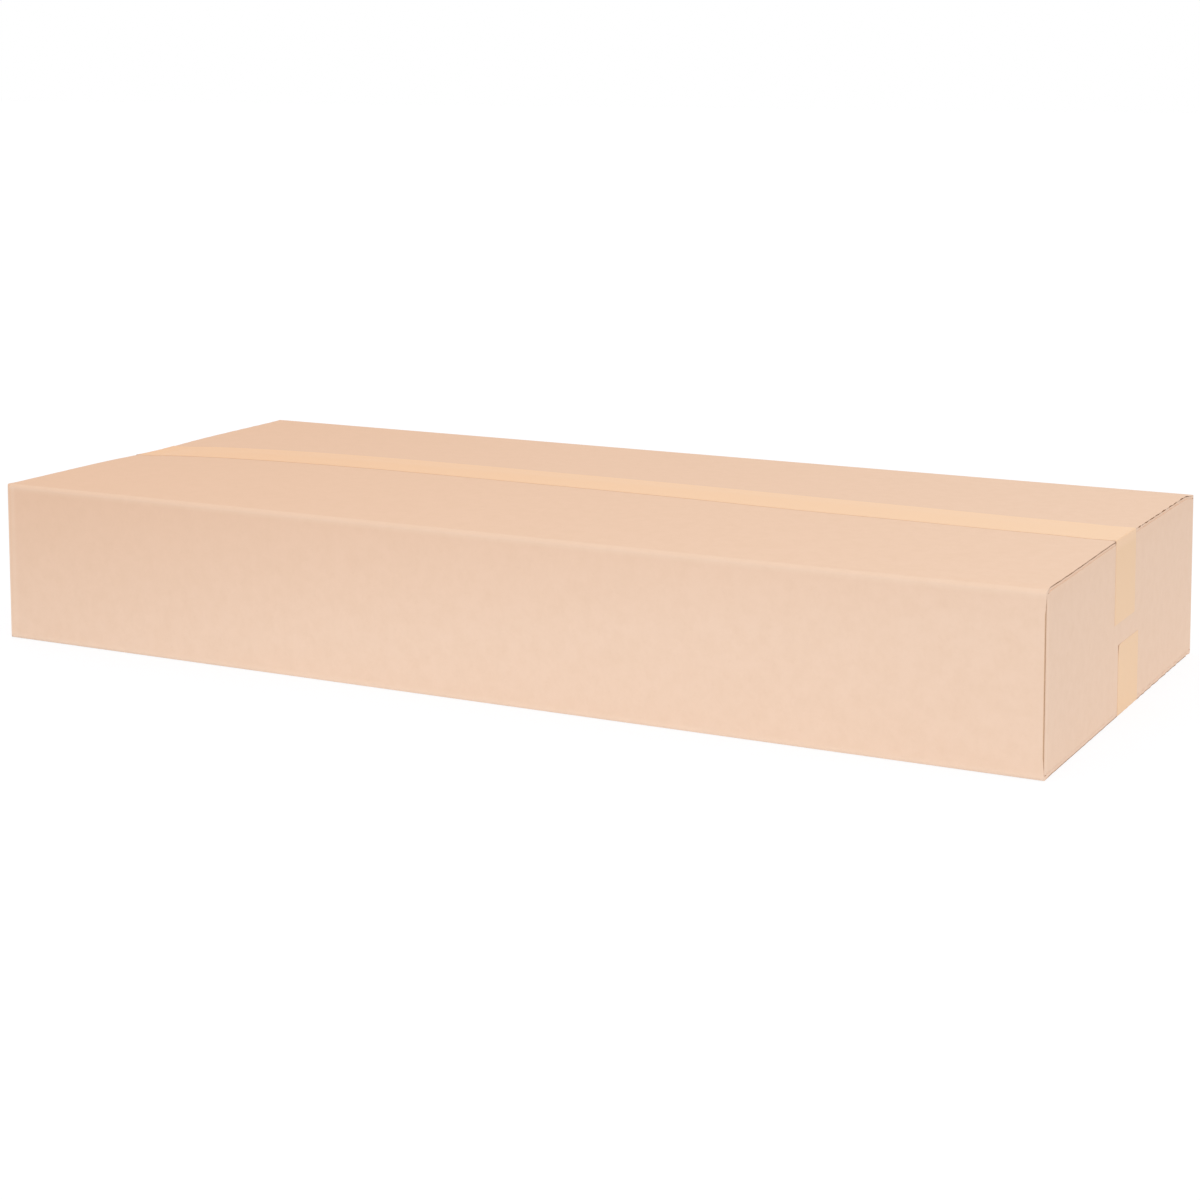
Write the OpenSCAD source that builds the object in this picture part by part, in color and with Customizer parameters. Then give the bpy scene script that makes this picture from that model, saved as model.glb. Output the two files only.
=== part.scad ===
// Closed shipping carton: a regular slotted case, folded from one sheet of
// single-wall corrugated board and shut with a strip of tape above and below.
// The length runs along X and the width along Y. The front is at -Y, and the
// origin lies under the middle of the carton, on the surface that it stands on.

/* [Carton] */
// Outside length of the closed carton
case_l = 830; // [480:5:1200]
// Outside width of the closed carton
case_w = 370; // [240:5:600]
// Outside height at the folded edges, below the lift of the top flaps
case_h = 121; // [90:1:400]

/* [Board] */
// Thickness of the corrugated board
board_t = 3; // [2:0.1:5]
// Inside radius of every fold
fold_r = 0.8; // [0.4:0.1:2]
// Air between two layers of board that lie on each other
layer_gap = 0.4; // [0.2:0.1:1]

/* [Flaps] */
// Gap between the free edges of the two long flaps
seam_gap = 2; // [0.5:0.5:6]
// Distance of the long flaps' ends from the end faces
flap_inset = 0.5; // [0.4:0.1:3]
// Gap between the sides of the short flaps and the fold of the glue tab
slot_gap = 1; // [0.5:0.5:6]
// Lift of the top flaps' free edges at the middle of the carton
top_lift = 6.5; // [0:0.5:12]
// Length at each end over which the top flaps lie flat
flat_end = 20; // [12:1:60]

/* [Glued joint] */
// Width of the glue tab behind the front panel
tab_w = 35; // [20:1:60]
// Length over which each end of the tab is cut at a slant
tab_slant = 10; // [2:1:20]

/* [Open flutes] */
// Height of the open flute along a cut edge, where the knife has squeezed the board
flute_slit = 1; // [0.4:0.1:1.6]
// Depth of the open flute along a cut edge
flute_depth = 3.5; // [1:0.5:8]
// Length beside a fold over which the flutes are pressed shut
flute_stop = 6; // [0.5:0.5:12]

/* [Tape] */
// Width of the tape
tape_w = 50; // [36:1:75]
// Thickness of the tape
tape_t = 0.1; // [0.06:0.02:0.4]
// Clearance between the tape and the board
tape_gap = 0.05; // [0.02:0.01:0.2]
// Inside radius of the tape where it turns down an end
tape_bend_r = 0.5; // [0.4:0.1:1.2]
// Length of the top tape on each end face
top_tail = 52; // [20:1:60]
// Bare height between the tails of the top and the bottom tape
tail_gap = 19; // [4:1:40]
// Distance of the bottom tape from the middle of the carton
bottom_shift = 7; // [-20:1:20]

/* [Hidden] */
$fn = 48;
eps = 1;
low_z = tape_t + tape_gap;
high_z = low_z + case_h;
end_x = case_l / 2;
side_y = case_w / 2;
fold_o = fold_r + board_t;
hinge_y = side_y - fold_o;
// At the glued joint the end panel's fold lies behind the front panel
joint_hinge_y = hinge_y - board_t;
seam_y = seam_gap / 2;
// All eight flaps are cut to one depth, so that the long ones meet at the seam
flap_reach = side_y - seam_y;
flap_end_x = end_x - flap_inset;
// The end panels are lower than the long ones by one layer at each edge
layer = board_t + layer_gap;
end_h = case_h - 2 * layer;
short_side_y = joint_hinge_y - slot_gap;
lift_x = flap_end_x - flat_end;
lift_stations = 40;
bottom_tail = case_h - top_tail - tail_gap;
board_colour = "#E9C9AE";
tape_colour = "#EFCBA2";

// Height that the free edges of the top flaps gain at the place x: a fourth-power
// bow, highest at the middle and nothing where the flaps lie flat on the short ones
function lift(x) = let (s = abs(x) / lift_x) s >= 1 ? 0 : top_lift * (1 - pow(s, 4));
// Share of that lift at the distance y from the seam, from 0 at the fold to 1
function lift_share(y) = (hinge_y - abs(y)) / (hinge_y - seam_y);

// Sheet between the places ys across the carton that follows the lifted flaps. Its
// upper and lower faces are split into triangles along the same lines, so that sheets
// lying on each other stay the same distance apart.
module lifted_sheet(ys, top, thickness) {
    n = len(ys);
    ring = 2 * n;
    points = [
        for (i = [0:lift_stations], k = [0:ring - 1])
            let (
                x = lift_x * (2 * i / lift_stations - 1),
                y = k < n ? ys[k] : ys[ring - 1 - k],
                z = top + lift(x) * lift_share(y) - (k < n ? 0 : thickness)
            )
            [x, y, z]
    ];
    sides = [
        for (i = [0:lift_stations - 1], k = [0:ring - 1], half = [0, 1])
            let (
                a = i * ring + k,
                b = i * ring + (k + 1) % ring,
                c = b + ring,
                d = a + ring
            )
            k < n ? (half == 0 ? [a, b, c] : [a, c, d]) : (half == 0 ? [a, b, d] : [b, c, d])
    ];
    last = lift_stations * ring;
    first_cap = [for (k = [0:n - 2]) [ring - 1 - k, ring - 2 - k, k + 1, k]];
    last_cap = [
        for (k = [0:n - 2])
            [last + k, last + k + 1, last + ring - 2 - k, last + ring - 1 - k]
    ];
    polyhedron(points, concat(sides, first_cap, last_cap));
}

// Quarter of a folded edge in section, in the quadrant where both axes are positive
module fold_section() {
    intersection() {
        difference() {
            circle(r = fold_o);
            circle(r = fold_r);
        }
        square(fold_o);
    }
}

// Bottom flap with its fold in section: the panel's outside is at 0 across, and
// the flap runs inwards to the given reach
module flap_section(reach) {
    translate([fold_o, fold_o]) rotate(180) fold_section();
    translate([fold_o, 0]) square([reach - fold_o, board_t]);
}

// Extrudes a section (across, up) along X over a length about the middle
module along_x(length) {
    rotate([90, 0, 90]) linear_extrude(length, center = true) children();
}

// Extrudes a section (across, up) along Y over a length about the middle
module along_y(length) {
    rotate([90, 0, 0]) linear_extrude(length, center = true) children();
}

// Open flute in both ends of a long bottom flap
module flap_flutes() {
    length = hinge_y - flute_stop;
    for (side = [-1, 1])
        translate([side * flap_end_x, -hinge_y + flute_stop + length / 2, board_t / 2])
            cube([2 * flute_depth, length, flute_slit], center = true);
}

// Long flap that lies flat, on the front side, with its outer face at height 0
module long_flap() {
    difference() {
        translate([-flap_end_x, -hinge_y, 0]) cube([2 * flap_end_x, flap_reach - fold_o, board_t]);
        flap_flutes();
    }
}

// Plan of the carton: folds round its corners, apart from the cut edge at the joint
module plan() {
    square([case_l - 2 * fold_o, case_w], center = true);
    square([case_l, 2 * hinge_y], center = true);
    for (corner = [[-1, -1], [-1, 1], [1, 1]])
        translate([corner.x * (end_x - fold_o), corner.y * hinge_y]) circle(r = fold_o);
    translate([end_x - fold_o, -side_y]) square(fold_o);
}

// Folds along the four long edges, which end at the rounded corners
module long_folds() {
    intersection() {
        for (side = [0, 1], level = [0, 1])
            mirror([0, side, 0]) translate([0, -hinge_y, level == 0 ? fold_o : case_h - fold_o])
                mirror([0, 0, level]) along_x(case_l) rotate(180) fold_section();
        linear_extrude(case_h) plan();
    }
}

// Long flap at the top of the front side, with a bowed free edge: the flat flap
// turned over, whose middle is cut away and made again as a lifted sheet
module top_flap_front() {
    difference() {
        mirror([0, 0, 1]) long_flap();
        translate([-lift_x, -hinge_y, -board_t - eps])
            cube([2 * lift_x, hinge_y, board_t + 2 * eps]);
    }
}

// Long panels, between the edges where the long flaps begin. At the right end of the
// front panel the sheet is cut.
module long_panels() {
    wall_h = case_h - 2 * fold_o;
    translate([0, 0, fold_o]) {
        translate([fold_o - end_x, -side_y, 0]) cube([case_l - fold_o, board_t, wall_h]);
        translate([fold_o - end_x, side_y - board_t, 0])
            cube([2 * (end_x - fold_o), board_t, wall_h]);
    }
}

// Folded upright corners, which end at the slots between the flaps
module corner_folds() {
    translate([0, 0, layer]) linear_extrude(end_h) {
        translate([fold_o - end_x, -hinge_y]) rotate(180) fold_section();
        translate([fold_o - end_x, hinge_y]) rotate(90) fold_section();
        translate([end_x - fold_o, hinge_y]) fold_section();
        translate([end_x - fold_o, -joint_hinge_y]) rotate(270) fold_section();
    }
}

// End panel and its two short flaps in section, which lie inside the long ones
module end_section() {
    translate([0, fold_o]) square([board_t, end_h - 2 * fold_o]);
    flap_section(flap_reach);
    translate([0, end_h]) mirror([0, 1]) flap_section(flap_reach);
}

// Left end panel, from its front corner fold at the given distance to the back one.
// Beside the short flaps its edges are cut square, where the slots end.
module end_panel(front_hinge) {
    translate([-end_x, 0, layer]) {
        along_y(2 * short_side_y) end_section();
        translate([0, short_side_y, 0]) cube([board_t, hinge_y - short_side_y, end_h]);
        translate([0, -front_hinge, 0]) cube([board_t, front_hinge - short_side_y, end_h]);
    }
}

// Glue tab: the end of the sheet, turned in and glued to the front panel's back
module glue_tab() {
    root_x = end_x - fold_o;
    tip_x = root_x - tab_w;
    low = fold_o;
    high = case_h - fold_o;
    translate([0, 2 * board_t - side_y, 0]) rotate([90, 0, 0]) linear_extrude(board_t)
        polygon([[root_x, low], [root_x, high], [tip_x, high - tab_slant], [tip_x, low + tab_slant]]);
}

// Open flute along the front panel's cut edge at the glued joint
module joint_flute() {
    start = fold_o + flute_stop;
    translate([end_x - flute_depth, board_t / 2 - flute_slit / 2 - side_y, start])
        cube([flute_depth + eps, flute_slit, case_h - 2 * start]);
}

// The carton: one folded sheet
module carton() {
    color(board_colour) translate([0, 0, low_z]) {
        difference() {
            long_panels();
            joint_flute();
        }
        corner_folds();
        end_panel(hinge_y);
        mirror([1, 0, 0]) end_panel(joint_hinge_y);
        glue_tab();
        long_folds();
        for (side = [0, 1]) mirror([0, side, 0]) {
            long_flap();
            translate([0, 0, case_h]) top_flap_front();
        }
        lifted_sheet([-hinge_y, -tape_w / 2, -seam_y], case_h, board_t);
        lifted_sheet([seam_y, tape_w / 2, hinge_y], case_h, board_t);
    }
}

// Tape at one end in section: corner of the carton at 0,0, the face that the
// tape comes from along -X, and the tail down the end face
module tape_turn(run, tail) {
    centre = tape_gap - tape_bend_r;
    translate([-run, tape_gap]) square([run + centre, tape_t]);
    translate([centre, centre]) intersection() {
        difference() {
            circle(r = tape_bend_r + tape_t);
            circle(r = tape_bend_r);
        }
        square(tape_bend_r + tape_t);
    }
    translate([tape_gap, -tail]) square([tape_t, tail + centre]);
}

// Top tape: it follows the lifted flaps and turns down both ends
module top_tape() {
    color(tape_colour) {
        lifted_sheet([-tape_w / 2, -seam_y, seam_y, tape_w / 2], high_z + tape_gap + tape_t, tape_t);
        for (side = [0, 1]) mirror([side, 0, 0])
            translate([end_x, 0, high_z]) along_y(tape_w) tape_turn(end_x - lift_x, top_tail);
    }
}

// Bottom tape: it lies under the lower seam and turns up both ends. Each half runs a
// little past the middle, so that the two are one strip.
module bottom_tape() {
    color(tape_colour) for (side = [0, 1]) mirror([side, 0, 0])
        translate([end_x, bottom_shift, low_z]) mirror([0, 0, 1])
            along_y(tape_w) tape_turn(end_x + eps, bottom_tail);
}

carton();
top_tape();
bottom_tape();
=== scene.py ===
# %% [markdown]
# A closed shipping carton, long and low. It is one sheet of corrugated board, slotted,
# creased and folded, and shut with a strip of packing tape above and one below.
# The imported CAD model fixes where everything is. This script dresses it: the board gets
# its rounded creases, crushed cut edges and paper, and the tape its film.

# %% Frame
import math

import bpy
import numpy as np
from mathutils import Matrix, Vector


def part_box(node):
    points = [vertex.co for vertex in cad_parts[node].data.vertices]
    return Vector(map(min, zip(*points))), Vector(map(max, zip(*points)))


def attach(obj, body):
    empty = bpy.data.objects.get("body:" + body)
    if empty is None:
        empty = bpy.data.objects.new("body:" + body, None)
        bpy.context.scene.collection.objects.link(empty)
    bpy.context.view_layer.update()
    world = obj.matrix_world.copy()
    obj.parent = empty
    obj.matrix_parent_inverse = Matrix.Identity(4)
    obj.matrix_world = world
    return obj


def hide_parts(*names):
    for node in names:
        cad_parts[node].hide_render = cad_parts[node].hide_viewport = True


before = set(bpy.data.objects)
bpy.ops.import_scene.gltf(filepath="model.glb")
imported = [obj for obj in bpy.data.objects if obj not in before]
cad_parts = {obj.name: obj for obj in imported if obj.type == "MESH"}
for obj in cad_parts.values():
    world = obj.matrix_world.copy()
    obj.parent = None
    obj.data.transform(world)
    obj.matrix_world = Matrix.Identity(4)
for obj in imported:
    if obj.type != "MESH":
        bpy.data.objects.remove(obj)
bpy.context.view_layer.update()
MM = 0.001
carton_low, carton_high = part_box("carton")
tape_low, tape_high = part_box("bottom_tape")
print("carton from", tuple(carton_low), "to", tuple(carton_high))

# %% [markdown]
# Everything is measured from the outside of the carton, so that comes first. It could be
# typed in, but a script that asks the frame can't disagree with the CAD model. The top
# flaps bow up by a few millimetres, so the height at the folds is the frame's height
# less that bow.

# %% Size of the carton
END_X = carton_high.x
SIDE_Y = carton_high.y
BASE_Z = carton_low.z
TOP_LIFT = 6.5 * MM
CASE_H = carton_high.z - TOP_LIFT - BASE_Z
print("carton is %.0f x %.0f x %.0f mm" % (2000 * END_X, 2000 * SIDE_Y, 1000 * CASE_H))

# %% [markdown]
# The frame can't say how thick the board is or how its layers lie. This is common
# single-wall board, 3 mm thick: a paper liner on both faces of a fluted middle layer.
# At a fold it turns about a line that lies 0.8 mm inside its inner face. The long flaps
# stop 1 mm short of the middle, and the short flaps lie one layer further in.

# %% Sizes of the board
BOARD_T = 3.0 * MM
FOLD_IN = 0.8 * MM
FOLD_OUT = FOLD_IN + BOARD_T
HINGE_Y = SIDE_Y - FOLD_OUT
FLAP_REACH = SIDE_Y - 1.0 * MM
LAYER = BOARD_T + 0.03 * MM
print("a long flap reaches %.0f mm in from the side" % (1000 * FLAP_REACH))

# %% [markdown]
# The photograph was taken from the right of the front, a little above the lid, with a
# longish lens. A camera can be turned by hand until the edges agree. Here its place,
# turn and lens were fitted to the corners of the carton, which gets within about a
# pixel. The best fit has the lens moved down against the frame by 0.4 of its width,
# which is why the upright edges look parallel. Moved by only 0.25, and tipped down for
# the rest, the camera also keeps the carton in the picture from other sides.

# %% Camera
CAMERA_AT = Vector((0.85617, -1.62974, 0.45633))
CAMERA_YAW = math.radians(-27.5024)
CAMERA_PITCH = math.radians(5.8933)
CAMERA_ROLL = math.radians(-0.1272)
CAMERA_LENS = 73.3121
CAMERA_SHIFT_Y = -0.25
CAMERA_FAR = 100


def camera_turn(yaw, pitch, roll):
    """Rotation of a camera that looks along +Y, then turned by yaw towards +X, tipped
    down by pitch and turned by roll about its own line of sight."""
    level = Vector((math.sin(yaw), math.cos(yaw), 0))
    ahead = level * math.cos(pitch) - Vector((0, 0, math.sin(pitch)))
    right = Vector((math.cos(yaw), -math.sin(yaw), 0))
    up = right.cross(ahead)
    rolled_right = right * math.cos(roll) + up * math.sin(roll)
    rolled_up = up * math.cos(roll) - right * math.sin(roll)
    return Matrix((rolled_right, rolled_up, -ahead)).transposed().to_4x4()


camera_data = bpy.data.cameras.new("camera")
camera_data.lens = CAMERA_LENS
camera_data.shift_y = CAMERA_SHIFT_Y
camera_data.clip_end = CAMERA_FAR
camera = bpy.data.objects.new("camera", camera_data)
turned = camera_turn(CAMERA_YAW, CAMERA_PITCH, CAMERA_ROLL)
camera.matrix_world = Matrix.Translation(CAMERA_AT) @ turned
bpy.context.scene.collection.objects.link(camera)
bpy.context.scene.camera = camera
print("camera is %.2f m from the middle of the carton's foot" % CAMERA_AT.length)

# %% [markdown]
# Colours are easiest to judge, and to write, as the hex values that a picture shows.
# Shaders work in linear light, so one function takes every colour through the sRGB
# curve, as Blender's colour picker does when a hex value is typed into it.

# %% Colours
def linear(hex_colour):
    """A colour such as "#E9C9AE" as linear red, green, blue and 1: each channel goes
    through the sRGB curve, a short straight toe and then a power of 2.4."""
    srgb = np.array([int(hex_colour[i:i + 2], 16) for i in (1, 3, 5)]) / 255
    toe = srgb / 12.92
    curve = ((srgb + 0.055) / 1.055) ** 2.4
    return (*np.where(srgb <= 0.04045, toe, curve).tolist(), 1.0)


print("middle grey, #808080, is %.3f in linear light" % linear("#808080")[0])

# %% [markdown]
# A material is a tree of nodes, which could be drawn in the shader editor. In a script
# one function adds a node, sets it and links it, so that a material reads as a list of
# what it is made of. The function gives back the output that the next node needs.

# %% Nodes and materials
COLOURS = {"data_type": "RGBA"}
COLOUR_OUT = 2


def add(tree, kind, settings=None, output=0, **inputs):
    """Adds a node and gives back one of its outputs. settings are its own properties.
    inputs are values or links, by the input's name with _ for a space, or by its
    number, as in i0. A Mix node of colours has them at 6 and 7, and its output at 2."""
    node = tree.nodes.new(kind)
    for name, value in (settings or {}).items():
        setattr(node, name, value)
    for name, value in inputs.items():
        numbered = name[0] == "i" and name[1:].isdigit()
        socket = node.inputs[int(name[1:]) if numbered else name.replace("_", " ")]
        if isinstance(value, bpy.types.NodeSocket):
            tree.links.new(value, socket)
        else:
            socket.default_value = value
    return node.outputs[output] if len(node.outputs) else None


def new_material(name):
    """A material with an empty tree, and that tree."""
    material = bpy.data.materials.new(name)
    material.use_nodes = True
    material.node_tree.nodes.clear()
    print("material", name)
    return material, material.node_tree


# %% [markdown]
# The outside of the board is kraft liner: unbleached softwood pulp, rolled smooth but
# not coated. The eye sees an even tan, with faint clouds about 9 mm across where the
# fibre lies thicker, and finer specks in them. Over that lies a drift of painted light,
# from warmer at the top left to paler at the bottom right, where more white light falls.
# Where a crease has stretched it, the paper is paler, with a painted highlight on the fold.
# A picture of paper would have to be joined up at every fold. Noise on Object
# coordinates runs on over the folds by itself. Only the creases have to follow the
# sheet, so the mesh says where they are, in a value of its own called crease.

# %% Colour of kraft paper
# The warm and pale colours are the two ends of a drift of painted light
KRAFT_WARM = "#E9C2A5"
KRAFT_PALE = "#EFCFB6"
KRAFT_CLOUD = "#DDB897"
KRAFT_CREASE_HIGHLIGHT = "#F6DBC4"

# The drift is painted light: a slope along the carton and down it, from warm to pale
LIGHT_DRIFT_ALONG = (0.96, 0.0, -7.4)
LIGHT_DRIFT_WARM = -1.3
LIGHT_DRIFT_PALE = -0.35

# Of each pattern: its size, detail and roughness, the noise at which it begins and is
# full, and its share of the cloud's colour where it is full
CLOUDS = (9 * MM, 3.0, 0.6, 0.35, 0.75, 0.16)
SPECKS = (3 * MM, 2.0, 0.5, 0.55, 0.80, 0.09)


def kraft_colour(tree):
    """Colour of kraft paper: the slow drift of painted light, then clouds, specks and
    creases, each mixed over the one before; the creases hold a painted highlight."""
    place = add(tree, "ShaderNodeTexCoord", output="Object")
    slope = add(tree, "ShaderNodeVectorMath", {"operation": "DOT_PRODUCT"}, "Value",
                i0=place, i1=LIGHT_DRIFT_ALONG)
    # Painted light: warmer at the top left, paler at the bottom right
    drift = add(tree, "ShaderNodeMapRange", Value=slope, From_Min=LIGHT_DRIFT_WARM,
                From_Max=LIGHT_DRIFT_PALE)
    colour = add(tree, "ShaderNodeMix", COLOURS, COLOUR_OUT,
                 i0=drift, i6=linear(KRAFT_WARM), i7=linear(KRAFT_PALE))
    for size, detail, roughness, begins, full, share in (CLOUDS, SPECKS):
        fibre = add(tree, "ShaderNodeTexNoise", Vector=place, Scale=1 / size, Detail=detail,
                    Roughness=roughness)
        thick = add(tree, "ShaderNodeMapRange", Value=fibre, From_Min=begins, From_Max=full,
                    To_Max=share)
        colour = add(tree, "ShaderNodeMix", COLOURS, COLOUR_OUT,
                     i0=thick, i6=colour, i7=linear(KRAFT_CLOUD))
    # Stretched pale liner and a painted highlight along the folds, from the mesh's crease value
    crease = add(tree, "ShaderNodeAttribute", {"attribute_name": "crease"}, "Fac")
    return add(tree, "ShaderNodeMix", COLOURS, COLOUR_OUT,
               i0=crease, i6=colour, i7=linear(KRAFT_CREASE_HIGHLIGHT))


print("kraft paper runs from", KRAFT_WARM, "to", KRAFT_PALE)

# %% [markdown]
# Uncoated paper has no shine: loose fibre scatters the light that a smooth face with
# its index of 1.5 would mirror, so its roughness is high and its specular level low.
# Softwood fibre is some 0.03 mm thick, far too fine to show here, so the bump is drawn
# at 1.2 mm, as coarse as it has to be to break up the light. Real displacement would
# cost millions of faces for the same.

# %% Kraft liner
FIBRE_SIZE = 1.2 * MM
FIBRE_PROUD = 0.02 * MM
PAPER_INDEX = 1.5
LINER_ROUGH = 0.85
LINER_SHINE = 0.2


def kraft_liner():
    """Kraft liner of single-wall board, machine finished: rough, without a shine, and
    with fibre that stands 0.02 mm proud."""
    material, tree = new_material("kraft_liner_machine_finished")
    place = add(tree, "ShaderNodeTexCoord", output="Object")
    fibre = add(tree, "ShaderNodeTexNoise", Vector=place, Scale=1 / FIBRE_SIZE, Detail=4.0,
                Roughness=0.7)
    bump = add(tree, "ShaderNodeBump", Height=fibre, Strength=1.0, Distance=FIBRE_PROUD)
    shader = add(tree, "ShaderNodeBsdfPrincipled", Base_Color=kraft_colour(tree),
                 Roughness=LINER_ROUGH, IOR=PAPER_INDEX, Specular_IOR_Level=LINER_SHINE,
                 Normal=bump)
    add(tree, "ShaderNodeOutputMaterial", Surface=shader)
    return material


kraft = kraft_liner()

# %% [markdown]
# Fluting paper shows only where the knife has left a flute open. It is recycled fibre
# and never finished, so it is rougher and browner than the liner, and patchy. Its waves
# could be drawn as stripes, but the slits are under 2 mm high, so one patchy brown is
# all that they need.

# %% Fluting paper
FLUTING_DARK = "#C39C7B"
FLUTING_PALE = "#DDB999"
FLUTING_PATCH = 1.5 * MM
FLUTING_ROUGH = 0.95
FLUTING_SHINE = 0.1


def fluting_paper():
    """Fluting paper inside an open flute, corrugated: two browns in small patches."""
    material, tree = new_material("fluting_paper_corrugated")
    place = add(tree, "ShaderNodeTexCoord", output="Object")
    patches = add(tree, "ShaderNodeTexNoise", Vector=place, Scale=1 / FLUTING_PATCH, Detail=3.0,
                  Roughness=0.5)
    colour = add(tree, "ShaderNodeMix", COLOURS, COLOUR_OUT,
                 i0=patches, i6=linear(FLUTING_DARK), i7=linear(FLUTING_PALE))
    shader = add(tree, "ShaderNodeBsdfPrincipled", Base_Color=colour, Roughness=FLUTING_ROUGH,
                 IOR=PAPER_INDEX, Specular_IOR_Level=FLUTING_SHINE)
    add(tree, "ShaderNodeOutputMaterial", Surface=shader)
    return material


fluting = fluting_paper()

# %% [markdown]
# The tape is polypropylene film with a clear tan adhesive. It takes the colour of the
# paper under it, a shade yellower, paler to the right. Below the top, on its tails, it
# is a shade deeper than the right half of the strip over the seam. Along that strip's
# edges runs a faint line of painted shade, which the mesh marks as edge.
# A see-through film over the board would be the literal way. It would need many more
# light paths, for a tint that comes out the same when a fifth of the paper's own
# colour is mixed in.

# %% Colour of the tape
TAPE_WARM = "#F3BC87"
TAPE_PALE = "#F9CEA2"
TAPE_DEEPER = "#F4C999"
TAPE_EDGE_SHADE = "#E0B07C"
PAPER_SHARE = 0.2
DEEPER_FROM = CASE_H - 1 * MM
DEEPER_BELOW = CASE_H - 5 * MM


def tape_colour(tree, place):
    """Colour of the film: a drift along the carton, the tails' own shade by height, the
    paper that shows through, and a line of painted shade along the edges."""
    along = add(tree, "ShaderNodeSeparateXYZ", output="X", Vector=place)
    height = add(tree, "ShaderNodeSeparateXYZ", output="Z", Vector=place)
    drift = add(tree, "ShaderNodeMapRange", Value=along, From_Min=-END_X, From_Max=END_X)
    loose = add(tree, "ShaderNodeMix", COLOURS, COLOUR_OUT,
                i0=drift, i6=linear(TAPE_WARM), i7=linear(TAPE_PALE))
    # A shade deeper below the top of the carton: on the tails and under it
    deeper = add(tree, "ShaderNodeMapRange", Value=height, From_Min=DEEPER_FROM,
                From_Max=DEEPER_BELOW)
    shade = add(tree, "ShaderNodeMix", COLOURS, COLOUR_OUT,
                i0=deeper, i6=loose, i7=linear(TAPE_DEEPER))
    body = add(tree, "ShaderNodeMix", COLOURS, COLOUR_OUT,
               i0=PAPER_SHARE, i6=shade, i7=kraft_colour(tree))
    # Painted shade along the film's edges, from the mesh's edge value
    edge = add(tree, "ShaderNodeAttribute", {"attribute_name": "edge"}, "Fac")
    return add(tree, "ShaderNodeMix", COLOURS, COLOUR_OUT,
               i0=edge, i6=body, i7=linear(TAPE_EDGE_SHADE))


print("the tape has its tails' shade below %.0f mm" % (DEEPER_BELOW / MM))

# %% [markdown]
# Rolled film is smooth but never lies quite flat, so its soft shine is uneven: a ripple
# some 14 mm across, 0.03 mm high. Polypropylene's index is 1.49. Its roughness is that
# of a satin film, matched to how little the photograph's tape shines. A gloss map could
# do this too, but the bump also moves with the light.

# %% Packing tape
RIPPLE_SIZE = 14 * MM
RIPPLE_HIGH = 0.03 * MM
FILM_INDEX = 1.49
FILM_ROUGH = 0.45
FILM_SHINE = 0.4


def packing_tape():
    """Polypropylene packing tape, rolled film over adhesive, with a slow ripple."""
    material, tree = new_material("polypropylene_film_rolled")
    place = add(tree, "ShaderNodeTexCoord", output="Object")
    ripple = add(tree, "ShaderNodeTexNoise", Vector=place, Scale=1 / RIPPLE_SIZE, Detail=2.0,
                 Roughness=0.5)
    bump = add(tree, "ShaderNodeBump", Height=ripple, Strength=1.0, Distance=RIPPLE_HIGH)
    shader = add(tree, "ShaderNodeBsdfPrincipled", Base_Color=tape_colour(tree, place),
                 Roughness=FILM_ROUGH, IOR=FILM_INDEX, Specular_IOR_Level=FILM_SHINE,
                 Normal=bump)
    add(tree, "ShaderNodeOutputMaterial", Surface=shader)
    return material


film = packing_tape()

# %% [markdown]
# Board and tape are both thin sheets that follow a path and turn at folds, so one
# surface makes them all. A path gives, for each of its stations, a point of the
# sheet's outer face and the direction into its thickness. A curve with a bevel would
# make such a band too, but not one whose width, thickness and edges change from station
# to station, as those of creased and cut board do.

# %% Paths
BEND_STATIONS = 9


def spread(count, crowded):
    """Shares from 0 to 1: even, t, or crowded at both ends, (1 - cos(pi t)) / 2."""
    t = np.linspace(0, 1, count)
    return 0.5 - 0.5 * np.cos(np.pi * t) if crowded else t


def straight(start, end, inward, count, crowded=False):
    """Stations on a straight stretch from start to end, with one inward direction."""
    share = spread(count, crowded)[:, None]
    points = np.array(start) + share * (np.array(end) - np.array(start))
    return points, np.tile(np.array(inward, float), (count, 1))


def bend(centre, radius, first, last, count=BEND_STATIONS):
    """Stations on an arc, centre + radius * (cos, sin) from the first to the last angle
    in degrees, with the sheet's thickness towards the centre."""
    angle = np.radians(np.linspace(first, last, count))[:, None]
    spoke = np.hstack([np.cos(angle), np.sin(angle)])
    return np.array(centre) + radius * spoke, -spoke


def joined(*stretches):
    """One path from stretches that follow each other; a shared station is kept once."""
    points = np.vstack([stretches[0][0]] + [more[1:] for more, _ in stretches[1:]])
    inward = np.vstack([stretches[0][1]] + [more[1:] for _, more in stretches[1:]])
    return points, inward


print("a bend has", BEND_STATIONS, "stations")

# %% [markdown]
# Every panel has a flap above and one below, so its section is the same all round the
# carton: flap, bend, panel, bend, flap. A box with bevelled edges would look alike from
# afar, but its flaps would be one lid. Here each bend has its own radius, and stations
# crowd beside it, where the board changes most.

# %% Section of a panel with its flaps
FOLD_R = 2.6 * MM

# Stations on a flap and on the panel
LONG_STATIONS = (80, 20)


def case_path(height, reach, radius, flap_count, panel_count):
    """Section of a panel with its two flaps, as (in from the outer face, up)."""
    top = straight((reach, height), (radius, height), (0, -1), flap_count, True)
    top_fold = bend((radius, height - radius), radius, 90, 180)
    panel = straight((0, height - radius), (0, radius), (1, 0), panel_count, True)
    low_fold = bend((radius, radius), radius, 180, 270)
    low = straight((radius, 0), (reach, 0), (0, 1), flap_count, True)
    return joined(top, top_fold, panel, low_fold, low)


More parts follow.
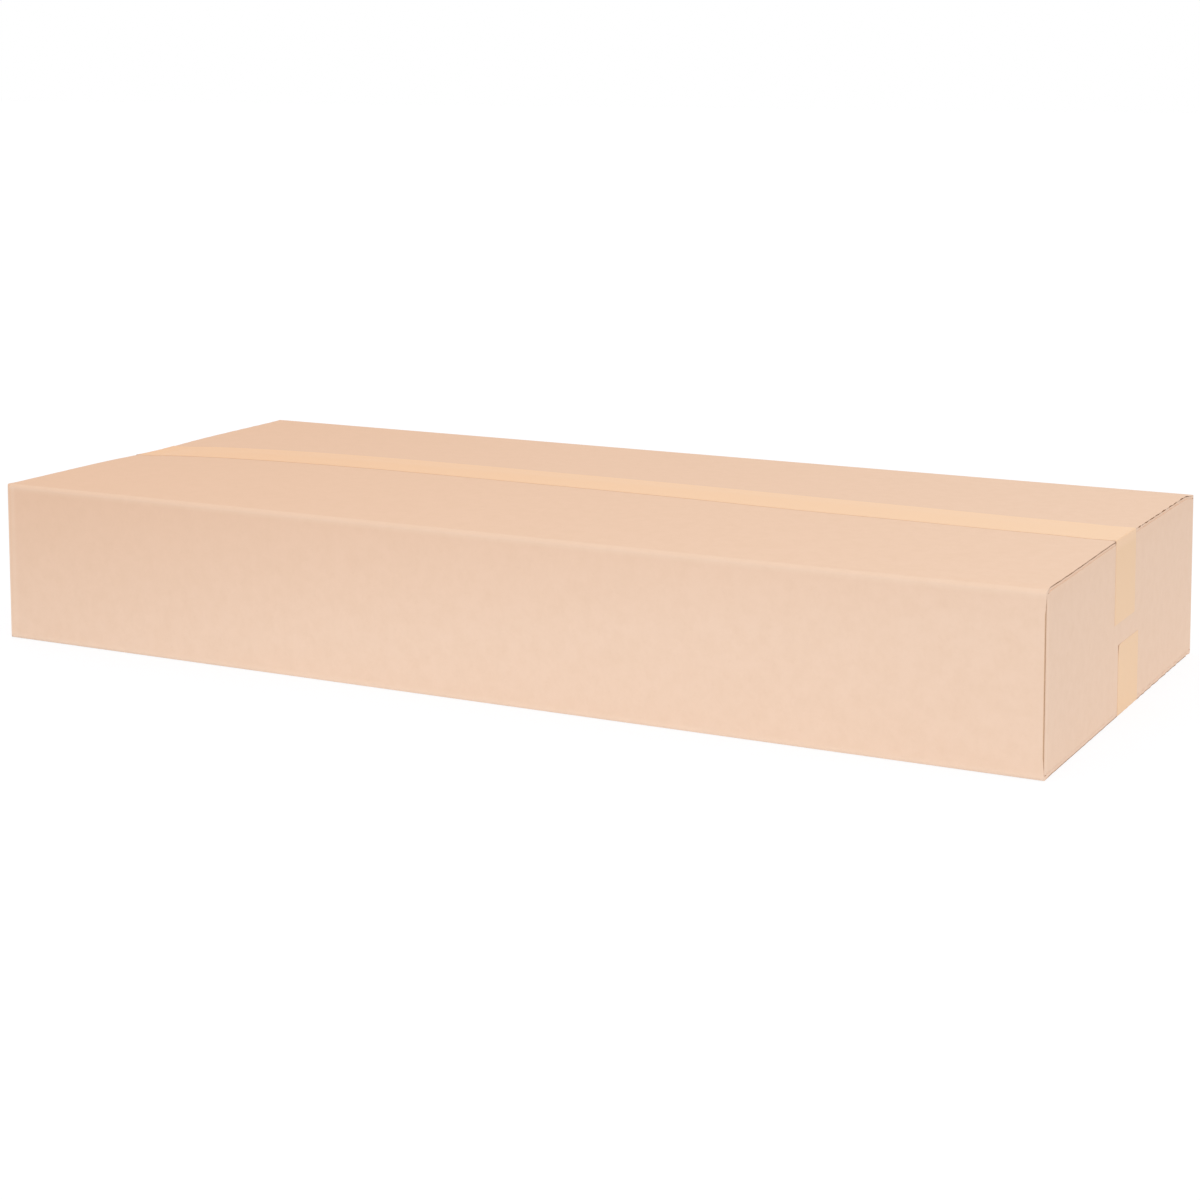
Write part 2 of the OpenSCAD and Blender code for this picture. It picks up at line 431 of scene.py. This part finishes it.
def from_folds(path, height, radius):
    """Distance of each station of a case path from the nearer of its two bends."""
    inset, up = path[0].T
    on_panel = np.minimum(up, height - up) - radius
    return np.clip(np.where(inset > radius, inset - radius, on_panel), 0, None)


long_path = case_path(CASE_H, FLAP_REACH, FOLD_R, *LONG_STATIONS)
print("a long side's section has", len(long_path[0]), "stations")

# %% [markdown]
# A slotting knife squeezes board as it cuts it. It drags the outer liner down over the
# flutes and leaves only a narrow dark slit of them open, just under that liner. Waves
# of real fluting could be modelled in there, but so little of them shows that a slit
# does. So a sheet has a rim: its outer face sinks over the last few millimetres, and a
# groove runs along the edge, about a third of the way in.

# %% Rim of a sheet
RIM_ROWS = np.array([0.0, 0.3, 0.8, 1.6, 2.8, 4.5]) * MM
RIM_EASE = (1 - RIM_ROWS / RIM_ROWS[-1]) ** 2
GROOVE_HEIGHT = np.array([-0.5, -0.3, 0.3, 0.5])
GROOVE_DEPTH = np.array([0, 1, 1, 0])
SLIT_AT = 0.36

# Sink of the outer face, height and depth of the groove, where an edge is shut
CLOSED = (0.0, 0.02 * MM, 0.1 * MM)
print("a rim has", len(RIM_ROWS), "rows over %.1f mm" % (RIM_ROWS[-1] / MM))

# %% [markdown]
# A sheet's section is one closed loop of points: outer face, groove, inner face and
# groove. It is carried along the path, and whole arrays hold all the stations at once.
# A Solidify modifier could thicken a plain surface, but it knows nothing of a rim, a
# groove or a crushed crease.

# %% Faces of a sheet
def tube_faces(stations, around):
    """Four-sided faces between neighbouring stations, with a cap on either end."""
    row = np.arange(stations - 1)[:, None] * around
    here = np.arange(around)[None, :]
    there = (here + 1) % around
    quads = np.stack([row + here, row + there, row + around + there, row + around + here], 2)
    last = (stations - 1) * around
    caps = [list(range(around))[::-1], list(range(last, last + around))]
    return quads.reshape(-1, 4).tolist() + caps


def groove_faces(stations, around, width):
    """Which faces line a groove: the three after the outer face's width of points, and
    the three before the last face of the loop. The caps don't."""
    place = np.arange(around)
    lining = (place >= width) & (place < width + 3)
    lining |= (place >= around - 4) & (place < around - 1)
    return np.append(np.tile(lining, stations - 1), [False, False])


print("a plain tube of 3 stations and 8 points has", len(tube_faces(3, 8)), "faces")

# %% Sheet carried along a path
def sheet(path, low, high, steps, thickness, low_rim=CLOSED, high_rim=CLOSED, slit_at=SLIT_AT):
    """Closed surface of a sheet carried along a path, from low to high across it.

    Every size is one number or one per station. A rim is how far the outer face sinks
    at that edge, and the height and depth of its groove, whose middle lies at slit_at
    times the thickness. At the distance d from an edge the face has sunk by
    sink * (1 - d / 4.5 mm)^2.
    Returns points as (across, the path's two coordinates), faces, and which of the
    faces are inside a groove."""
    points, inward = path
    low, high, thickness, slit_at, *rims = [
        np.broadcast_to(np.asarray(value, float), len(points))[:, None]
        for value in (low, high, thickness, slit_at, *low_rim, *high_rim)
    ]
    low_sink, low_gap, low_deep, high_sink, high_gap, high_deep = rims
    start = low + RIM_ROWS[-1]
    stop = high - RIM_ROWS[-1]
    middle = spread(steps + 1, True)[1:-1]
    face = np.hstack([low + RIM_ROWS, start + middle * (stop - start), high - RIM_ROWS[::-1]])
    level = np.zeros_like(low * middle)
    sunk = np.hstack([low_sink * RIM_EASE, level, high_sink * RIM_EASE[::-1]])
    low_groove = low + low_deep * GROOVE_DEPTH
    high_groove = high - high_deep * GROOVE_DEPTH
    across = np.hstack([face, high_groove, face[:, ::-1], low_groove])
    depth = np.hstack([
        sunk,
        thickness * slit_at + high_gap * GROOVE_HEIGHT,
        thickness + 0 * sunk,
        thickness * slit_at - low_gap * GROOVE_HEIGHT,
    ])
    flat = points[:, None, :] + depth[:, :, None] * inward[:, None, :]
    corners = np.concatenate([across[:, :, None], flat], 2).reshape(-1, 3)
    stations, around = across.shape
    return corners, tube_faces(stations, around), groove_faces(stations, around, face.shape[1])


# %% [markdown]
# The flaps on top are not quite flat. Tape holds their ends down, and the board bows up
# between them, most at the seam. A lattice could lift them, but a formula repeats the
# CAD model's own bow, and the tape can follow the same one.

# %% Bow of the top flaps
FLAP_END_X = END_X - 0.5 * MM
FLAT_END = 20 * MM
LIFT_X = FLAP_END_X - FLAT_END


def lift(x, y):
    """Lift of the top flaps: a fourth-power bow along x, 1 - (x / half length)^4, times
    the share of the way from the fold to the seam."""
    along = np.clip(1 - (np.abs(x) / LIFT_X) ** 4, 0, 1)
    across = np.clip((HINGE_Y - np.abs(y)) / (HINGE_Y - (SIDE_Y - FLAP_REACH)), 0, 1)
    return TOP_LIFT * along * across


def ramp(distance, length):
    """Soft step from 0 to 1 over a length: 3 t^2 - 2 t^3."""
    t = np.clip(distance / length, 0, 1)
    return t * t * (3 - 2 * t)


print("the middle of the seam is lifted by %.1f mm" % (lift(0, 0) / MM))

# %% [markdown]
# Two smaller things are in the photograph and not in the CAD model. At the right the
# short flaps push the closed end up by 2 to 3 mm. At the left the tape pulls the seam
# down a little. Sculpting them would part the layers, so one function moves every layer
# near the top together, board and tape alike.

# %% Ends of the top flaps
RISE_LENGTH = 70 * MM
RISE_BY_FRONT = 1.6 * MM
RISE_FURTHER = 1.7 * MM
RISE_LEFT = 0.2 * MM
FURTHER_FROM = -160 * MM
FURTHER_OVER = 150 * MM
FRONT_EASE = 12 * MM
BACK_EASE = 28 * MM
DIP_DEPTH = 1.4 * MM
DIP_LENGTH = 25 * MM
DIP_WIDTH = 45 * MM


def spring(x, y):
    """How far the closed ends stand above the folds: a bell along x from either end,
    times a soft step beside either fold. The amount is 0.2 mm on the left. On the right
    it is 1.6 mm by the front fold, and a soft step more from there to the seam."""
    bell = np.exp(-((END_X - np.abs(x)) / RISE_LENGTH) ** 2)
    right = RISE_BY_FRONT + RISE_FURTHER * ramp(y - FURTHER_FROM, FURTHER_OVER)
    amount = np.where(x > 0, right, RISE_LEFT)
    return bell * amount * ramp(SIDE_Y + y, FRONT_EASE) * ramp(SIDE_Y - y, BACK_EASE)


def dip(x, y):
    """Dip at the left end of the seam: a bell along x times a bell across y."""
    return DIP_DEPTH * np.exp(-((x + END_X) / DIP_LENGTH) ** 2 - (y / DIP_WIDTH) ** 2)


def settled(points):
    """Points moved by the spring less the dip: in full down to two layers below the
    top, and not at all from three layers down."""
    x, y, z = points.T
    near_top = np.clip((z - BASE_Z - CASE_H + 3 * LAYER) / LAYER, 0, 1)
    return np.stack([x, y, z + (spring(x, y) - dip(x, y)) * near_top], 1)


print("the right end of the seam stands %.1f mm up" % (spring(END_X, 0.0) / MM))

# %% [markdown]
# A crease is pressed into board before it is folded. It crushes it to about three
# quarters of its thickness, so the fold is tighter outside than 3 mm of board would
# make it, and the liner stretched over it is paler. Its tone also holds a painted
# highlight on the rounded fold. A bevel would round the edge but leave the board thick.
# Here thickness and tone are both bells round the fold.

# %% Creases
CREASE_T = 2.2 * MM
CREASE_WIDE = 2.5 * MM
CREASE_HIGHLIGHT_WIDE = 1.0 * MM
CREASE_HIGHLIGHT_SHARE = 0.27


def crease_thickness(distance, at_fold=CREASE_T):
    """Board thickness at a distance from a fold: 3 mm less what a bell takes away."""
    return BOARD_T - (BOARD_T - at_fold) * np.exp(-(distance / CREASE_WIDE) ** 2)


def crease_pale_and_highlight(distance, points):
    """Share of pale colour for every point of a sheet, a bell round a fold: stretched liner and a
    painted highlight.
    """
    tone = CREASE_HIGHLIGHT_SHARE * np.exp(-(distance / CREASE_HIGHLIGHT_WIDE) ** 2)
    return np.repeat(tone, len(points) // len(tone))


print("2.5 mm from a fold the board is %.1f mm thick" % (crease_thickness(CREASE_WIDE) / MM))

# %% [markdown]
# The cut ends of the long flaps catch the eye at the carton's end. They follow the
# rounding of the fold, and lie back a little from the end panel where nothing presses
# on them. A knife that is no longer sharp wanders. Its cut could be moved by a noise
# texture, but a few sine waves with periods of about 18 mm give a smooth line that is
# the same on every run.

# %% Cut ends of the long flaps
BACK_SHUT = 0.1 * MM
BACK_FREE = 0.4 * MM
FREE_LENGTH = 6 * MM
TAPED = 30 * MM
PRESSED = 0.8
KNIFE_PERIOD = 18 * MM
KNIFE_SWAY = 0.4 * MM
WAVES = 6
WAVE_SUM = 3.5


def quarter(inset):
    """How far a fold of radius FOLD_R has come out of its own plane at a given depth
    inside the other: sqrt(r^2 - (r - inset)^2)."""
    return np.sqrt(FOLD_R ** 2 - (FOLD_R - np.clip(inset, 0, FOLD_R)) ** 2)


def wander(along, seed, period, amount):
    """Smooth unevenness along a line: six sine waves with periods of 0.5 to 1.6 times
    the given one and phases by chance, scaled so that the sum rarely passes the
    amount."""
    chance = np.random.default_rng(seed)
    periods = period * chance.uniform(0.5, 1.6, WAVES)
    phases = chance.uniform(0, 2 * np.pi, WAVES)
    return amount * np.sin(2 * np.pi * along[:, None] / periods + phases).sum(1) / WAVE_SUM


def flap_end_x(inset, up, away, wave):
    """Where a flap's end lies: on the rounding of the fold, plus the sway of the knife.
    On top it lies back by 0.1 mm, and by up to 0.5 mm where it is free of the tape."""
    pressed = PRESSED * np.exp(-((FLAP_REACH - inset) / TAPED) ** 2)
    free = ramp(away, FREE_LENGTH) * (1 - pressed)
    back = (BACK_SHUT + BACK_FREE * free) * (up > CASE_H / 2)
    return END_X - FOLD_R + quarter(inset) - back + KNIFE_SWAY * wave * free


print("halfway into a fold its end has come out %.1f mm" % (quarter(FOLD_R / 2) / MM))

# %% [markdown]
# Slits are widest along the upright cut of the glued joint. Beside a fold the flutes
# are pressed shut and open over 10 mm in front and 20 mm behind. A shred of liner
# closes the far slit by the tape. Below, the slit lies closer to the outer face. A slit
# could be a dark line in the material, but a groove darkens by itself.

# %% Slits along the cuts
SINK = 0.35 * MM
SLIT = 0.58 * MM
FLUTE_DEPTH = 1.6 * MM
SHUT_FRONT = 10 * MM
SHUT_BACK = 20 * MM
SHRED_AT = SIDE_Y - 37 * MM
SHRED_WIDE = 2 * MM
LEAST_OPEN = 0.2
MOST_OPEN = 2
JOINT_OPEN = 3.0
LOW_OPEN = 0.85
LOW_SLIT_AT = 0.22


def slit_share(inset, wave, front):
    """How open a top flap's slit is: 1 plus the knife's wave, kept between 0.2 and 2,
    less a bell at the shred."""
    shred = np.exp(-((inset - SHRED_AT) / SHRED_WIDE) ** 2) * (not front)
    return np.clip(1 + wave, LEAST_OPEN, MOST_OPEN) * (1 - shred)


def knife_rim(opened, share):
    """Rim of a cut edge whose flutes are opened by 0 to 1: the sink of its outer face,
    and the height and depth of its slit, each the shut size plus its own times that."""
    _, shut_gap, shut_depth = CLOSED
    return (SINK * opened, shut_gap + SLIT * opened * share, shut_depth + FLUTE_DEPTH * opened)


print("the joint's slit is %.1f mm high" % (knife_rim(1, JOINT_OPEN)[1] / MM))

# %% [markdown]
# The carton is one piece, so it is one object. A cube with loop cuts can't have flaps
# that are cut free of each other. So its mesh is put together from closed sheets that
# meet on flat stretches, where a join can't be seen: the two long sides with their long
# flaps, the two ends with their short flaps, and the upright corners.
#
# The front panel is the last of the blank. Its cut right edge is glued over the tab, and
# is the dark upright line of the near corner. Beside the left end both long panels have
# a pale band: a painted highlight where the crease of the corner bulges the board.

# %% Long sides
FRONT_SWAY = 0.3
BACK_SWAY = 1.0
KNIFE_SEEDS = (5, 6)
HAIR = 0.01 * MM
JOINT_BACK = 0.4 * MM
BAND_AT = 6.2 * MM
BAND_WIDE = 1.6 * MM
BAND_HIGHLIGHT_SHARE = 0.22
ON_FACE = 0.1 * MM
LONG_STEPS = 56


def long_side(front):
    """A long panel with its two long flaps. The panel stops where the corner folds
    begin, apart from the cut edge at the front right, which runs to the end face."""
    inset, up = long_path[0].T
    away = from_folds(long_path, CASE_H, FOLD_R)
    opened = ramp(away, SHUT_FRONT if front else SHUT_BACK)
    on_flap = inset > FOLD_R + HAIR
    joint = front & ~on_flap
    below = on_flap & (up < CASE_H / 2)

    # A metre is added to the place on top, so that the waves above and below differ
    along = inset + (up > CASE_H / 2)
    sway = FRONT_SWAY if front else BACK_SWAY
    edge_wave, slit_wave = (wander(along, seed + 2 * front, KNIFE_PERIOD, sway)
                            for seed in KNIFE_SEEDS)
    flap_x = flap_end_x(inset, up, away, edge_wave)
    low = -np.where(on_flap, flap_x, END_X - FOLD_R)
    high = np.where(joint, END_X - JOINT_BACK * opened, -low)

    share = np.where(joint, JOINT_OPEN, slit_share(inset, slit_wave, front))
    rim = knife_rim(opened, np.where(below, LOW_OPEN, share))
    left_rim = [np.where(on_flap, cut, shut) for cut, shut in zip(rim, CLOSED)]
    right_rim = [np.where(on_flap | joint, cut, shut) for cut, shut in zip(rim, CLOSED)]
    points, faces, slits = sheet(long_path, low, high, LONG_STEPS, crease_thickness(away),
                                 left_rim, right_rim, np.where(below, LOW_SLIT_AT, SLIT_AT))

    tone = crease_pale_and_highlight(away, points)
    x, inset, up = points.T
    # Painted highlight: a pale band beside the crease of the left corners
    highlight_band = BAND_HIGHLIGHT_SHARE * np.exp(-((x + END_X - BAND_AT) / BAND_WIDE) ** 2) * (inset < ON_FACE)
    y = (inset - SIDE_Y) if front else (SIDE_Y - inset)
    z = BASE_Z + up + lift(x, y) * (up > CASE_H / 2)
    faces = faces if front else [face[::-1] for face in faces]
    return settled(np.stack([x, y, z], 1)), faces, slits, tone + highlight_band


long_sides = [long_side(True), long_side(False)]
print("a long side has", len(long_sides[0][1]), "faces")

# %% [markdown]
# The ends are plainer. Their short flaps lie under the long ones, out of sight, so the
# same surface does with fewer stations and shut edges. The short flaps stay clear of
# the corner with the joint, which turns one board further in than the others.

# %% Ends
SHORT_FOLD_R = 0.15 * MM
JOINT_HINGE_Y = HINGE_Y - BOARD_T
SHORT_SIDE_Y = JOINT_HINGE_Y - 1.0 * MM
SHORT_STATIONS = (12, 16)
END_STEPS = 48

# The board is drawn thin at this sharp fold, so that its inner face doesn't fold over
SHORT_CREASE_T = 0.9 * SHORT_FOLD_R


def end_side(right):
    """An end panel with its two short flaps, between the slots."""
    height = CASE_H - 2 * LAYER
    path = case_path(height, FLAP_REACH, SHORT_FOLD_R, *SHORT_STATIONS)
    away = from_folds(path, height, SHORT_FOLD_R)
    thickness = crease_thickness(away, SHORT_CREASE_T)
    points, faces, slits = sheet(path, -SHORT_SIDE_Y, SHORT_SIDE_Y, END_STEPS, thickness)
    y, inset, up = points.T
    x = (END_X - inset) if right else (inset - END_X)
    faces = faces if right else [face[::-1] for face in faces]
    return settled(np.stack([x, y, BASE_Z + LAYER + up], 1)), faces, slits, 0 * x


ends = [end_side(True), end_side(False)]
print("an end has", len(ends[0][1]), "faces")

# %% [markdown]
# Three upright corners are folds, from an end panel round to a long one. Their upper and
# lower edges follow the long folds beside them, a hair inside. The fourth is the glued
# joint: the end panel turns in behind the front panel and runs on as a slanted tab. A
# bevel on a box would close these corners, but not show how the sheet goes on.

# %% Upright corners
TAB_W = 35 * MM
TAB_SLANT = 10 * MM
CORNER_GAP = 0.03 * MM
CORNER_RIM = (0.1 * MM, 0.02 * MM, 0.1 * MM)
CORNER_STEPS = 24
BESIDE_STATIONS = 5
TAB_STATIONS = 8


def corner_path(fold_x, fold_y, joint):
    """Plan of a corner, as (x, y): beside the short flap, round the fold and, at the
    joint, on behind the front panel."""
    beside = straight((END_X, SHORT_SIDE_Y), (END_X, fold_y), (-1, 0), BESIDE_STATIONS)
    path = joined(beside, bend((fold_x, fold_y), FOLD_R, 0, 90))
    tab_y = fold_y + FOLD_R
    tab = straight((fold_x, tab_y), (fold_x - TAB_W, tab_y), (0, -1), TAB_STATIONS)
    return joined(path, tab) if joint else path


def corner(right, back):
    """A folded upright corner, or at the front right the corner with the glue tab."""
    joint = right and not back
    fold_x = END_X - FOLD_R
    fold_y = (JOINT_HINGE_Y if joint else HINGE_Y) + FOLD_OUT - FOLD_R
    path = corner_path(fold_x, fold_y, joint)
    out_x, out_y = path[0].T
    slanted = LAYER + np.clip((fold_x - out_x) / TAB_W, 0, 1) * TAB_SLANT
    rounded = FOLD_R - quarter(SIDE_Y - out_y) + CORNER_GAP
    low = slanted if joint else np.where(out_y > fold_y, rounded, LAYER)
    folded = (out_y > fold_y) & (out_x > fold_x)
    thickness = np.where(folded, CREASE_T, BOARD_T)
    points, faces, slits = sheet(path, low, CASE_H - low, CORNER_STEPS, thickness,
                                 CORNER_RIM, CORNER_RIM)
    away = np.where(out_x > fold_x, fold_y - out_y, fold_x - out_x)
    tone = crease_pale_and_highlight(np.clip(away, 0, None), points)
    up, x, y = points.T
    x = x if right else -x
    y = y if back else -y
    faces = [face[::-1] for face in faces] if right == back else faces
    return settled(np.stack([x, y, BASE_Z + up], 1)), faces, slits, tone


corners = [corner(right, back) for right in (True, False) for back in (True, False)]
print("a corner has", len(corners[0][1]), "faces")

# %% [markdown]
# The parts become one mesh with from_pydata, which is the plain way from arrays to a
# mesh. Separate objects joined in Blender would come to the same. Faces inside a groove
# take the second material, if there is one, and the tone of every point goes into the
# value that the material reads.

# %% Object from parts
SHARP = math.radians(35)


def object_from(name, parts, materials, tone_name):
    """One mesh object from parts, each (points, faces, second material or not, tone).
    Edges sharper than 35 degrees stay crisp."""
    points = np.vstack([part[0] for part in parts])
    starts = np.cumsum([0] + [len(part[0]) for part in parts])
    faces = [[start + i for i in face] for start, part in zip(starts, parts) for face in part[1]]
    mesh = bpy.data.meshes.new(name)
    mesh.from_pydata(points.tolist(), [], faces)
    for material in materials:
        mesh.materials.append(material)
    second = np.concatenate([part[2] for part in parts]).astype(np.int32)
    mesh.polygons.foreach_set("material_index", np.minimum(second, len(materials) - 1))
    mesh.polygons.foreach_set("use_smooth", np.ones(len(faces), bool))
    tone = mesh.attributes.new(tone_name, "FLOAT", "POINT")
    tone.data.foreach_set("value", np.concatenate([part[3] for part in parts]))
    mesh.set_sharp_from_angle(angle=SHARP)
    mesh.update()
    piece = bpy.data.objects.new(name, mesh)
    bpy.context.scene.collection.objects.link(piece)
    print(name, "has", len(points), "points and", len(faces), "faces")
    return piece


# %% [markdown]
# The finished carton rides on the part's one body and stands in for the CAD model's
# plain solid, which is hidden.

# %% Carton
carton = object_from("carton_board", long_sides + ends + corners, [kraft, fluting], "crease")
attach(carton, "root")
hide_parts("carton")

# %% [markdown]
# A strip of tape runs along its seam, is pressed round the ends of the flaps, leans out
# to the end face and ends there in a tail. A cloth simulation could press it on, but
# film that is stuck down has no drape to find. Film with its adhesive is 0.05 mm thick,
# and it is drawn at 0.1 mm so that its edge shows. Over the seam a twentieth of a
# millimetre of air is left under it, as in the CAD model. On the tails the adhesive
# fills that, so that no dark line is left beside them.

# %% Tape strips
TAPE_T = 0.1 * MM
TAPE_GAP = 0.05 * MM
TAPE_UP = TAPE_GAP + TAPE_T
TAPE_BEND = 1.0 * MM
TAPE_HALF = (tape_high.y - tape_low.y) / 2
TAPE_RIM = (0, 0.02 * MM, 0.02 * MM)
TAPE_STEPS = 12
TAIL_FROM = -LAYER - 0.4 * MM
FILLED_OVER = 4 * MM
LEAST_GAP = 0.005 * MM
EDGE_SHADE_SHARE = 0.15
EDGE_SHADE_FADE = 1 * MM

# Stations of the turn, the lean, the tail and the run
TURN, LEAN, TAIL, RUN = 7, 6, 24, 200


def tape_path(tail):
    """A strip over a flat face at height 0, from one tail to the other, as (x, up): a
    straight run and, at either end, a turn, a lean out to the end face and a tail."""
    face = END_X + TAPE_UP
    ridge = END_X - BACK_SHUT + TAPE_UP
    turn = bend((ridge - TAPE_BEND, TAPE_UP - TAPE_BEND), TAPE_BEND, 90, 0, TURN)
    lean = straight((ridge, TAPE_UP - TAPE_BEND), (face, TAIL_FROM), (-1, 0), LEAN)
    right = joined(turn, lean, straight((face, TAIL_FROM), (face, -tail), (-1, 0), TAIL))
    left = (right[0][::-1] * (-1, 1), right[1][::-1] * (-1, 1))
    run = straight((TAPE_BEND - ridge, TAPE_UP), (ridge - TAPE_BEND, TAPE_UP), (0, -1), RUN, True)
    return joined(left, run, right)


def tape_strip(tail):
    """The sheet of a strip, with its edge tone of painted shade: 0.15 at either edge of
    the run, fading to 0 over 1 mm, and none on the tails."""
    path = tape_path(tail)
    filled = ramp(TAIL_FROM - path[0][:, 1], FILLED_OVER)
    thickness = TAPE_T + (TAPE_GAP - LEAST_GAP) * filled
    points, faces, slits = sheet(path, -TAPE_HALF, TAPE_HALF, TAPE_STEPS, thickness,
                                 TAPE_RIM, TAPE_RIM)
    across, _, up = points.T
    # Painted shade: a darker line along both edges of the run
    edge = EDGE_SHADE_SHARE * np.clip(1 - (TAPE_HALF - np.abs(across)) / EDGE_SHADE_FADE, 0, 1)
    return points, faces, slits, edge * (up > -TAPE_BEND)


print("tape is %.0f mm wide" % (2 * TAPE_HALF / MM))

# %% [markdown]
# The upper strip was laid by hand, so it strays towards the front, by up to 7.5 mm on
# the right half. It could be turned as a whole, but tape that starts straight and is
# pulled aside bends, so it gets a soft step and a bell. Then it follows the bow, the
# spring and the dip of the flaps under it.

# %% Tape over the top seam
TOP_TAIL = 55.5 * MM
SKEW = 3.5 * MM
STRAY = 4 * MM
STRAY_AT = 190 * MM
STRAY_LENGTH = 90 * MM

points, faces, slits, edge = tape_strip(TOP_TAIL)
y, x, up = points.T
skewed = SKEW * ramp(x + END_X / 2, END_X)
y = y - skewed - STRAY * np.exp(-((x - STRAY_AT) / STRAY_LENGTH) ** 2)
z = BASE_Z + CASE_H + up + lift(x, y) * (up > -TAPE_BEND)
top_strip = (settled(np.stack([x, y, z], 1)), faces, slits, edge)
top_tape = object_from("tape_over_top_seam", [top_strip], [film], "edge")
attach(top_tape, "root")
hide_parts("top_tape")

# %% [markdown]
# The lower strip is straight, and its place comes from the frame. The near upper corner
# of its right tail has come unstuck and stands 0.3 mm off, just enough for the short
# dark line that the photograph shows there. It is the same kind of strip upside down.
# A negative scale could do that, but an object is best left unscaled. So its points are
# mirrored, and its faces are turned round too, or they would point inwards.

# %% Tape under the bottom seam
BOTTOM_TAIL = tape_high.z - BASE_Z
BOTTOM_SHIFT = (tape_high.y + tape_low.y) / 2
LOOSE_BY = 0.3 * MM
LOOSE_WIDE = 4 * MM
LOOSE_TALL = 5 * MM

points, faces, slits, edge = tape_strip(BOTTOM_TAIL)
y, x, up = points.T
loose = np.exp(-((y + TAPE_HALF) / LOOSE_WIDE) ** 2 - ((up + BOTTOM_TAIL) / LOOSE_TALL) ** 2)
x = x + LOOSE_BY * loose * (x > 0)
points = np.stack([x, y + BOTTOM_SHIFT, BASE_Z - up], 1)
faces = [face[::-1] for face in faces]
bottom_tape = object_from("tape_under_bottom_seam", [(points, faces, slits, edge)], [film], "edge")
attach(bottom_tape, "root")
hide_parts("bottom_tape")

# %% [markdown]
# The stage is a plain white sheet on a lit table, as in a catalogue picture. A brighter
# lamp would make any floor white, but bleach the carton with it. So the floor's own
# material tells the camera's rays from the others: the camera sees paper white with a
# trace of the carton's shadow, and the carton gets what such a table gives. The table
# glows most round the carton, which lifts the lower half of its upright sides. White
# paper has a brightener in it, so its light is a little blue.

# %% Stage
FLOOR_SIZE = 30.0
FLOOR_MATT = "#D1D4DA"
FLOOR_WHITE = 1.22
FLOOR_EVEN = 0.65
GLOW_COLOUR = "#EDF7FF"
GLOW = 0.422
GLOW_AT = (0.07, 0.0, 0.0)
GLOW_NEAR = 0.3
GLOW_FAR = 1.1


def floor_glow(tree, camera_ray):
    """Light of the lit table: full within 0.3 m of its middle, gone at 1.1 m, and left
    out of what the camera sees."""
    place = add(tree, "ShaderNodeTexCoord", output="Object")
    away = add(tree, "ShaderNodeVectorMath", {"operation": "DISTANCE"}, "Value",
               i0=place, i1=GLOW_AT)
    near = add(tree, "ShaderNodeMapRange", Value=away, From_Min=GLOW_NEAR, From_Max=GLOW_FAR,
               To_Min=GLOW, To_Max=0.0)
    unseen = add(tree, "ShaderNodeMapRange", Value=camera_ray, To_Min=1.0, To_Max=0.0)
    strength = add(tree, "ShaderNodeMath", {"operation": "MULTIPLY"}, i0=near, i1=unseen)
    return add(tree, "ShaderNodeEmission", Color=linear(GLOW_COLOUR), Strength=strength)


def floor_paper():
    """White floor, matt and glowing. To the camera two thirds of it is an even white,
    and the rest takes the shadow."""
    material, tree = new_material("white_paper_matt")
    camera_ray = add(tree, "ShaderNodeLightPath", output="Is Camera Ray")
    matt = add(tree, "ShaderNodeBsdfDiffuse", Color=linear(FLOOR_MATT))
    lit = add(tree, "ShaderNodeAddShader", i0=floor_glow(tree, camera_ray), i1=matt)
    white = add(tree, "ShaderNodeEmission", Strength=FLOOR_WHITE)
    even = add(tree, "ShaderNodeMapRange", Value=camera_ray, To_Max=FLOOR_EVEN)
    seen = add(tree, "ShaderNodeMixShader", i0=even, i1=lit, i2=white)
    add(tree, "ShaderNodeOutputMaterial", Surface=seen)
    return material


half = FLOOR_SIZE / 2
floor_corners = [(-half, -half, 0), (half, -half, 0), (half, half, 0), (-half, half, 0)]
floor_mesh = bpy.data.meshes.new("floor")
floor_mesh.from_pydata(floor_corners, [], [(0, 1, 2, 3)])
floor_mesh.materials.append(floor_paper())
floor = bpy.data.objects.new("floor", floor_mesh)
bpy.context.scene.collection.objects.link(floor)
print("floor is %.0f m across" % FLOOR_SIZE)

# %% [markdown]
# Most of the light comes evenly from all round, as in a white tent. A ring of lamps
# could do that, but a plain world gives it without a trace of lamps in the film's
# shine. The camera sees the tent full white. The carton gets a little less, so that
# its pale paper doesn't clip.

# %% White tent
SKY_LEVEL = 0.96

world = bpy.data.worlds.new("white_tent")
world.use_nodes = True
sky_tree = world.node_tree
sky_tree.nodes.clear()
sky_ray = add(sky_tree, "ShaderNodeLightPath", output="Is Camera Ray")
sky_level = add(sky_tree, "ShaderNodeMapRange", Value=sky_ray, To_Min=SKY_LEVEL, To_Max=1.0)
sky = add(sky_tree, "ShaderNodeBackground", Color=linear("#FFFFFF"), Strength=sky_level)
add(sky_tree, "ShaderNodeOutputWorld", Surface=sky)
bpy.context.scene.world = world
print("the tent gives the carton", SKY_LEVEL, "of full white")

# %% [markdown]
# One large soft lamp stands in front, above and to the right. It makes the right of the
# front a little brighter than the left, leaves the end a little darker, and picks out
# the rounded creases. A sun lamp would light the whole front alike.

# %% Key lamp
KEY_AT = Vector((0.75, -1.75, 1.55))
KEY_WATTS = 5.5
KEY_SIZE = 1.2

key_data = bpy.data.lights.new("key", "AREA")
key_data.energy = KEY_WATTS
key_data.size = KEY_SIZE
key = bpy.data.objects.new("key", key_data)
aimed = (-KEY_AT).to_track_quat("-Z", "Y").to_matrix().to_4x4()
key.matrix_world = Matrix.Translation(KEY_AT) @ aimed
bpy.context.scene.collection.objects.link(key)
print("key lamp is %.1f m away" % KEY_AT.length)

# %% [markdown]
# The last line sets the plain Standard view transform.

bpy.context.scene.view_settings.view_transform = "Standard"
